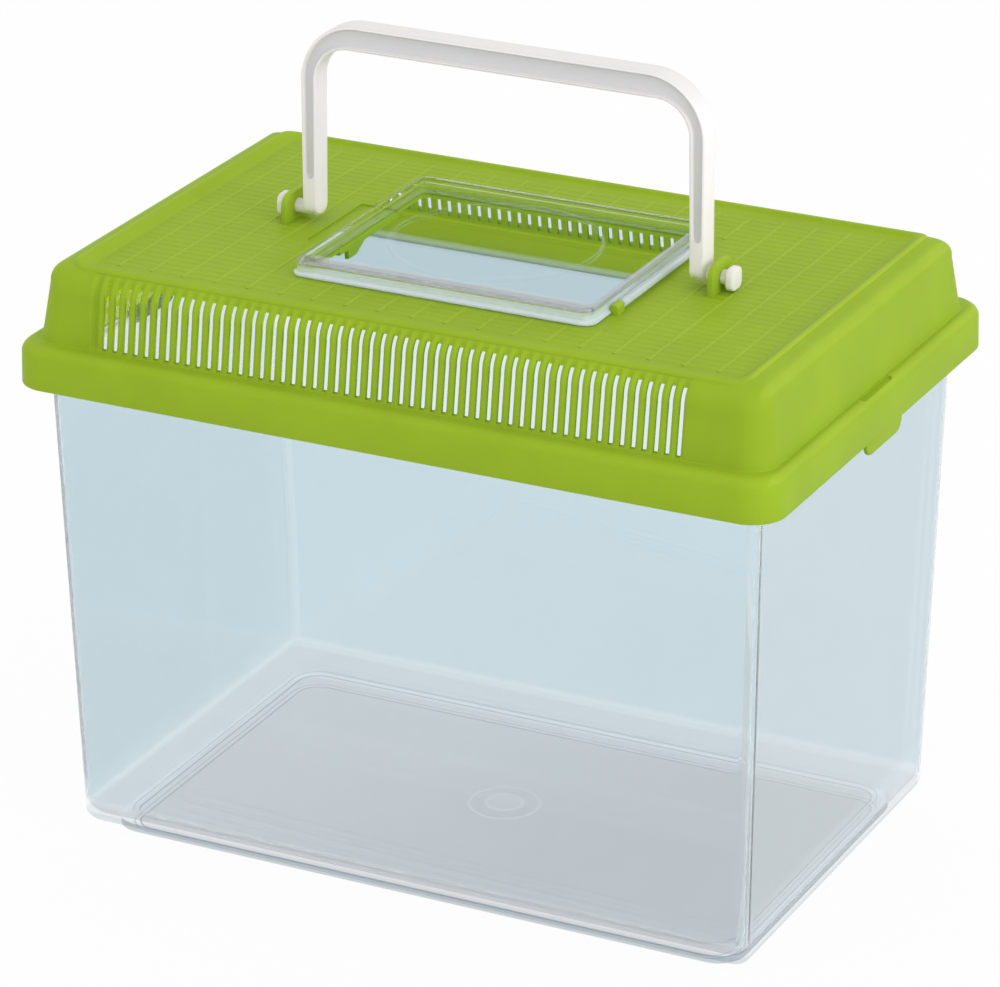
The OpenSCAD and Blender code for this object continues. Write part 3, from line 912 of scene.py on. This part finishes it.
def lid_fittings(s):
    """Ears, lift tabs, hinge lugs, pocket floor and tongue, as closed parts."""
    ear_top = PIVOT_Z + 6.0
    ear = [(-9, UNDER_Z), (9, UNDER_Z)]
    ear += arc_points(4, ear_top - 5, 5, 0, 90, 8) + arc_points(-4, ear_top - 5, 5, 90, 180, 8)
    tab = [(-16, SKIRT_Z + 2)] + arc_points(-11, SKIRT_Z, 5, 180, 270, 8)
    tab += arc_points(11, SKIRT_Z, 5, 270, 360, 8) + [(16, SKIRT_Z + 2)]
    parts = []
    for part in (slab(ear, 84.4, 86.8, 0.5, "X"),
                 slab(tab, LID_HIGH[0] - s.wall / MM, LID_HIGH[0] - 0.02, 0.6, "X")):
        parts += [part, flip(part)]
    lug_half = 1.76
    lug = [(-lug_half, UNDER_Z), (lug_half, UNDER_Z)] + arc_points(0, HINGE_Z, lug_half, 0, 180, 10)
    for side in (-1, 1):
        y = HATCH_AT[1] + side * 32.9
        parts.append(slab([(z, HINGE_X + x) for x, z in reversed(lug)], y - 2.8, y + 2.8, 0.4, "Y"))
    floor = [(-72.2, -21.3), (-55.7, -21.3), (-55.7, 25.3), (-72.2, 25.3)]
    parts.append(slab(floor, UNDER_Z - 1.6, FIELD_Z - 0.7, 0.2, "Z"))
    z = UNDER_Z - 1.5
    tongue = [(0, z - 7.2), (6, z - 4), (6, z), (-7, z), (-6.2, z - 7.2)]
    parts.append(slab(tongue, -62.0, -60.2, 0.35, "X"))
    return parts


def field_texture(s, material):
    """The ribs and treads in the lid's top field."""
    ribs, rows = 19, 34
    hatch_x, hatch_y = HATCH_AT
    gaps = [(x * MM, y * MM, 0) for x, y in (
        (hatch_x - 66.2, hatch_y - 53.3), (hatch_x + 66.2, hatch_y + 53.3), (-76.5, -21.5), (-52, 25.5))]
    length, level = s.tread_pitch * (rows - 1), (0, 0, FIELD_Z * MM)
    half_row = s.tread_pitch / MM / 2
    section = [(-0.2, 0.9), (-0.2, -0.9), (0.1, -0.8), (0.25, -0.5), (0.25, 0.5), (0.1, 0.8)]
    rib = piece("rib", slab(section, -half_row - 0.01, half_row + 0.01, 0.01, "Y"), smooth=60)
    width = s.rib_pitch * (ribs - 1)
    made = [spread("field_ribs", rib, (width, length), (ribs, rows), gaps, level, material)]
    last, end = width / 2, TREADS[0] * MM
    for name, half, across, columns in (
            ("field_treads", s.rib_pitch / 2, s.rib_pitch * (ribs - 2), ribs - 1),
            ("end_treads", (end - last) / 2, last + end, 2)):
        tread = pillow("tread", half / MM - 0.3, half_row - 0.7, 0.15, 0.5)
        made.append(spread(name, tread, (across, length), (columns, rows), gaps, level, material))
    return made


class KEEPER_OT_lid(bpy.types.Operator):
    """Builds the vented lid"""
    bl_idname = "keeper.lid"
    bl_label = "Lid"

    def execute(self, context):
        s = context.scene.keeper.lid
        green = moulded("green_moulded_plastic", s.colour, 0.42, lid_painted_light, 0.03, 0.22, lid_painted_inner_glow, gloss=0.07)
        shell = lid_shell(s)
        made = [shell, piece("lid_fittings", *lid_fittings(s))]
        pitch = s.slot_pitch
        start = VENT_X * MM - pitch * (s.slot_count - 1) / 2
        for name, side in (("front_vent", -1), ("back_vent", 1)):
            vent = repeat_along(name, flute_cell(s, side), s.slot_count, (start, 0, 0), (pitch, 0, 0), green)
            soften(vent, 50)
            edge = flute_cell(s, side, False)
            edge.name = name + "_edge"
            edge.data.transform(Matrix.Translation((start - pitch, 0, 0)))
            made += [vent, edge]
        for obj in made + field_texture(s, green):
            obj.data.materials.clear()
            obj.data.materials.append(green)
            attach(obj, "lid")
        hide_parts("lid")
        return {"FINISHED"}


# ---- tank

def leaning(t):
    """The tank's wall, as a half size at a share of its height."""
    return [foot + (rim - foot) * t for foot, rim in zip(TANK_FOOT, TANK_RIM)]


class KEEPER_OT_tank(bpy.types.Operator):
    """Builds the clear tank"""
    bl_idname = "keeper.tank"
    bl_label = "Tank"

    def execute(self, context):
        s = context.scene.keeper.tank
        wall, floor, foot = s.wall / MM, s.floor / MM, s.foot / MM
        lip, rim_z = TANK_HIGH[:2], TANK_HIGH[2]
        foot_half = [c - 7.6 for c in TANK_FOOT]
        bowl, inner_bowl = 6.0, 8.0
        rise = rim_z - foot - bowl

        # Outside: under the foot, up the foot, round the bowl, up the walls and round the lip
        rings = [ring(foot_half, d, r, z) for d, r, z in (
            (4, 8, 0), (1.2, 9.8, 0), (0.5, 10.5, 0.12), (0.1, 10.9, 0.5), (0, 11, 1.0), (0, 11, foot - 1.0),
            (-0.2, 11.2, foot - 0.3), (-0.7, 11.5, foot))]
        rings += [ring(TANK_FOOT, bowl * c, 4.5 - c, foot + bowl * h) for c, h in reversed(quarter(12))]
        rings += [ring(leaning(t), 0, 4.5, foot + bowl + rise * t) for t in (0.004, 0.33, 0.66, 0.98)]
        rings += [ring(half, d, r, rim_z - z) for half, d, r, z in (
            (TANK_RIM, -0.1, 4.6, 2.4), (TANK_RIM, -0.7, 5.0, 1.8), (lip, 0.4, 9.6, 1.8), (lip, 0, 10, 1.4),
            (lip, 0, 10, 0.4), (lip, 0.4, 9.6, 0), (TANK_RIM, wall - 0.3, 3.4, 0),
            (TANK_RIM, wall, 3.0, 0.3))]

        # Inside: down the walls, round the bowl, over the ledge into the recess, and the gate mark
        rings += [ring(leaning(t), wall, 3.0, foot + bowl + rise * t) for t in (0.98, 0.66, 0.33, 0.027)]
        low = foot + 1.7
        rings += [
            ring(leaning((1 - k / 12) * 0.02), wall + inner_bowl * c, 3.0 - 0.4 * c, low + inner_bowl * h)
            for k, (c, h) in enumerate(quarter(12))]
        recess = (foot_half[0] - floor - 2.2, foot_half[1] - floor - 1.2)
        level = foot + 0.8
        rings += [ring(recess, d, r, z) for d, r, z in (
            (-1.6, 12.5, low), (-0.5, 12.0, low), (-0.1, 11.7, low - 0.08), (0.3, 11.5, low - 0.35),
            (0.6, 11.3, low - 0.6), (1.2, 11.0, level + 0.12), (2.2, 10.5, level + 0.03), (3.0, 10.0, level),
            (5, 9.0, level))]
        turns = [atan2(y, x) for x, y, w in outline([c - 5 for c in recess], 9.0)]
        for r, h in (
                (14.2, 0), (13.4, 0), (13.1, 0.1), (12.8, 0.25), (12.4, 0.3), (11.9, 0.3), (8.0, 0.28),
                (7.2, 0.3), (6.8, 0.45), (6.4, 0.55), (5.9, 0.5), (5.2, 0.35), (3.0, 0.33), (2.0, 0.38),
                (1.5, 0.5), (0.9, 0.55)):
            rings.append([(r * cos(a), r * sin(a), level + h) for a in turns])
        tank = piece("tank_shell", loft(rings))
        tank.data.materials.append(clear(
            "clear_tank_plastic", s.tint, tank_painted_floor_shade, tank_calm, (0.95, 0.96, 0.965), 0.95, tank_floor_tint_and_painted_shade,
            tank_thin))
        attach(tank, "tank")
        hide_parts("tank")
        return {"FINISHED"}


# ---- handle

HANDLE_X = (HANDLE_LOW[0] + HANDLE_HIGH[0]) / 2


def handle_stations(s):
    """The handle's right half, from its foot to the middle of its bar.

    Each station has its outer and inner points, its half depth, and its channel's depth and width as shares.
    """
    leg, bar = s.leg / MM, s.bar / MM
    out_x, top = 80.6, HANDLE_HIGH[2] - PIVOT_Z
    outer_round, inner_round, foot_round = 23.0, 13.0, 3.5
    flare, depth = 0.6, 4.65
    stations = []
    for c, h in quarter(6):
        z = foot_round * c - 1.6
        stations.append(((out_x, z), (out_x - leg, z), depth - foot_round * h, 0.0, 1.0))
    channel_end = 14.5 - (leg / 2 - 0.9)
    heights = [4.0, 8.0, channel_end - 0.02]
    heights += [channel_end + 0.02 + (leg / 2 - 0.9) * c for c, h in quarter(6)]
    heights += [20.0, 28.0, 36.0, 44.0]
    for z in heights:
        share, width = 0.0, 0.12
        if z > channel_end:
            t = min(1.0, (z - channel_end) / (leg / 2 - 1.0))
            share, width = 1.0, max(0.12, sqrt(max(0.0, 1 - (1 - t) ** 2)))
        stations.append(((out_x, z), (out_x - leg - flare * max(0, z - 5) / 45, z), depth, share, width))
    ox, oz = out_x - outer_round, top - outer_round
    ix, iz = out_x - leg - flare - inner_round, top - bar - inner_round
    for a in [radians(90 * k / 16) for k in range(17)]:
        c, h = cos(a), sin(a)
        outer = (ox + outer_round * c, oz + outer_round * h)
        inner = (ix + inner_round * c, iz + inner_round * h)
        stations.append((outer, inner, depth, 1.0, 1.0))
    for t in [k / 6 for k in range(1, 7)]:
        stations.append(((ox * (1 - t), top), (ix * (1 - t), top - bar), depth, 1.0, 1.0))
    return stations


def handle_band(s):
    """The handle's band: rings from one foot, over the top, to the other foot."""
    stations = handle_stations(s)
    stations += [((-o[0], o[1]), (-i[0], i[1]), d, c, g) for o, i, d, c, g in reversed(stations[:-1])]
    rim, edge = 1.0, 0.85
    side = ((1.0, 0.0), (0.93, 0.22), (0.86, 0.62), (0.78, 0.9), (0.66, 1.0))
    channel = [*side, (0.0, 1.0), *[(-q, h) for q, h in reversed(side)]]
    rings = []
    for outer, inner, depth, share, narrow in stations:
        width = hypot(outer[0] - inner[0], outer[1] - inner[1])
        half = (width / 2 - rim) * narrow
        e = min(edge, depth * 0.8)
        corner = [(0.0, depth - e), (e * 0.13, depth - e * 0.5), (e * 0.5, depth - e * 0.13), (e, depth)]
        loop = corner + [(width / 2 - half * q, depth - s.channel / MM * h * share) for q, h in channel]
        loop += [(width - u, v) for u, v in reversed(corner)]
        loop += [(u, -v) for u, v in reversed(loop)]
        dx, dz = (inner[0] - outer[0]) / width, (inner[1] - outer[1]) / width
        rings.append([(HANDLE_X + outer[0] + dx * u, v, PIVOT_Z + outer[1] + dz * u) for u, v in loop])
    return loft(rings)


class KEEPER_OT_handle(bpy.types.Operator):
    """Builds the carrying handle"""
    bl_idname = "keeper.handle"
    bl_label = "Handle"

    def execute(self, context):
        s = context.scene.keeper.handle
        reach = HANDLE_HIGH[0] - HANDLE_X
        head = []
        for q, (y, z) in enumerate(((1.4, 1.4), (-1.4, 1.4), (-1.4, -1.4), (1.4, -1.4))):
            head += arc_points(y, PIVOT_Z + z, 2.8, 90 * q, 90 * (q + 1), 5)
        pin = rod(76.5, reach - 1.0, 2.7, 0, PIVOT_Z, 0.2, "X")
        parts = [handle_band(s)]
        for part in pin, slab(head, reach - 3.3, reach, 0.8, "X"):
            for verts, faces in (part, flip(part)):
                parts.append(([(x + HANDLE_X, y, z) for x, y, z in verts], faces))
        handle = piece("carry_handle", *parts, smooth=50, turn_out=True)
        white = moulded("white_moulded_plastic", s.colour, 0.36, handle_painted_light, tone=0.012)
        handle.data.materials.append(white)
        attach(handle, "handle")
        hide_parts("handle")
        return {"FINISHED"}


# ---- hatch

class KEEPER_OT_hatch(bpy.types.Operator):
    """Builds the clear hatch"""
    bl_idname = "keeper.hatch"
    bl_label = "Hatch"

    def execute(self, context):
        s = context.scene.keeper.hatch
        wall, edge = s.wall / MM, s.edge / MM
        low, high = HATCH_LOW[2], HATCH_HIGH[2]
        under = high - wall
        flange, inner_round, inset_plate = -1.2, 0.8, 9.5
        runs = dict(arc=8, run_x=16, run_y=16)

        # Under the plate, down inside the walls, round the flange, up outside and over the plate
        rows = [(wall + 6, 1.2, under), (wall + 1.3, 2.0, under)]
        rows += [(wall + inner_round * h, 2.2, under - inner_round * c) for c, h in quarter(5)]
        rows += [
            (wall, 2.4, under - 1.2), (wall, 2.4, low + 0.5), (wall - 0.25, 2.6, low),
            (flange + 0.3, 4.9, low), (flange, 5.2, low + 0.3), (flange, 5.2, low + 0.9),
            (flange + 0.3, 4.9, low + 1.2), (-0.3, 4.3, low + 1.25), (0, 4.0, low + 1.6),
            (0, 4.0, low + 2.0), (0, 4.0, high - edge - 0.4)]
        rows += [(edge * c, 4.0 - edge * c * 0.6, high - edge * h) for c, h in quarter(8)]
        rows += [(edge + 0.5, 3.0, high), (inset_plate, 2.0, high)]
        rings = [ring(HATCH, d, r, z, at=HATCH_AT, **runs) for d, r, z in rows]
        turns = [atan2(y, x) for x, y, w in outline([c - inset_plate for c in HATCH], 2.0, **runs)]
        rx, ry, radius = HATCH_RING
        for r, h in ((0.6, 0.0), (0.25, 0.0), (0.1, -0.03), (-0.1, -0.03), (-0.25, 0.0), (-0.6, 0.0)):
            rings.append([(rx + (radius + r) * cos(a), ry + (radius + r) * sin(a), high + h) for a in turns])
        hatch = piece("hatch_window", loft(rings), smooth=45)
        y = HATCH_AT[1]
        barrel = rod(y - 29.6, y + 29.6, 1.7, HINGE_Z, HINGE_X, 0.25, "Y", 24)
        pins = rod(y - 34.7, y + 34.7, 1.0, HINGE_Z, HINGE_X, 0.2, "Y", 24)
        combine(hatch, "UNION", [piece("barrel", barrel), piece("pins", pins)], 45)
        hatch.data.materials.append(clear(
            "clear_hatch_plastic", s.tint, hatch_painted_edge_shade, hatch_calm, (0.63, 0.72, 0.75), 0.99, hatch_painted_light_strips,
            hatch_thin, hatch_painted_reflection))
        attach(hatch, "hatch")
        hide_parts("hatch")
        return {"FINISHED"}


# ---- stage

class KEEPER_OT_stage(bpy.types.Operator):
    """Builds the floor, the light and the camera"""
    bl_idname = "keeper.stage"
    bl_label = "Stage"

    def execute(self, context):
        s = context.scene.keeper.stage
        scene = context.scene
        scene.view_settings.view_transform = "Standard"
        reach, level = 6000, -0.3
        square = [(x * reach, y * reach, level) for x, y in ((-1, -1), (1, -1), (1, 1), (-1, 1))]
        floor = piece("stage_floor", (square, [(0, 1, 2, 3)]))
        mat = bpy.data.materials.new("stage_white")
        g = new_graph(mat)
        dull = g.node("ShaderNodeBsdfDiffuse", {"Color": (0.78, 0.78, 0.78, 1)})
        glow = g.node("ShaderNodeEmission", {"Color": (1, 1, 1, 1), "Strength": 1.0})
        g.end("ShaderNodeOutputMaterial", g.blend(g.plain_rays() * 0.96, dull, glow))
        floor.data.materials.append(mat)

        scene.world = bpy.data.worlds.new("stage_world")
        g = new_graph(scene.world)
        soft = g.node("ShaderNodeBackground", {"Color": (0.97, 0.985, 1.0, 1), "Strength": s.fill})
        white = g.node("ShaderNodeBackground", {"Color": (1, 1, 1, 1), "Strength": 1.0})
        g.end("ShaderNodeOutputWorld", g.blend(g.plain_rays().least(1.0), soft, white))

        data = bpy.data.lights.new("key_lamp", "AREA")
        data.energy, data.shape, data.size, data.size_y = s.key, "RECTANGLE", 1.4, 1.0
        lamp = add("key_lamp", data)
        lamp.location = (1.75, -0.35, 0.85)
        lamp.rotation_euler = (Vector((0, 0, 0.15)) - lamp.location).to_track_quat("-Z", "Y").to_euler()

        data = bpy.data.cameras.new("keeper_camera")
        cam = add("keeper_camera", data)
        data.sensor_width = 36.0
        data.lens = data.sensor_width * 5.23046
        data.clip_end = 50
        back = Vector((sin(s.turn) * cos(s.rise), -cos(s.turn) * cos(s.rise), sin(s.rise)))
        cam.location = Vector((-0.00182, 0, 0.13112)) + back * s.distance
        roll = Matrix.Rotation(radians(-0.18), 4, "Z")
        cam.rotation_euler = (back.to_track_quat("Z", "Y").to_matrix().to_4x4() @ roll).to_euler()
        scene.camera = cam
        return {"FINISHED"}


class KEEPER_PT_panel(bpy.types.Panel):
    """Lists the pieces of the pet keeper"""
    bl_idname = "KEEPER_PT_panel"
    bl_label = "Pet Keeper"
    bl_space_type = "VIEW_3D"
    bl_region_type = "UI"
    bl_category = "Pet Keeper"

    def draw(self, context):
        settings = context.scene.keeper
        for name in PARTS:
            box = self.layout.box()
            box.operator("keeper." + name)
            group = getattr(settings, name)
            for prop in group.bl_rna.properties:
                if prop.identifier not in ("rna_type", "name"):
                    box.prop(group, prop.identifier)


CLASSES = (KeeperLid, KeeperTank, KeeperHandle, KeeperHatch, KeeperStage, KeeperSettings,
           KEEPER_OT_lid, KEEPER_OT_tank, KEEPER_OT_handle, KEEPER_OT_hatch, KEEPER_OT_stage, KEEPER_PT_panel)


def register():
    for cls in CLASSES:
        bpy.utils.register_class(cls)
    bpy.types.Scene.keeper = PointerProperty(type=KeeperSettings)


def unregister():
    del bpy.types.Scene.keeper
    for cls in reversed(CLASSES):
        bpy.utils.unregister_class(cls)


def main():
    register()
    for part in PARTS:
        getattr(bpy.ops.keeper, part)()


if __name__ == "__main__":
    main()
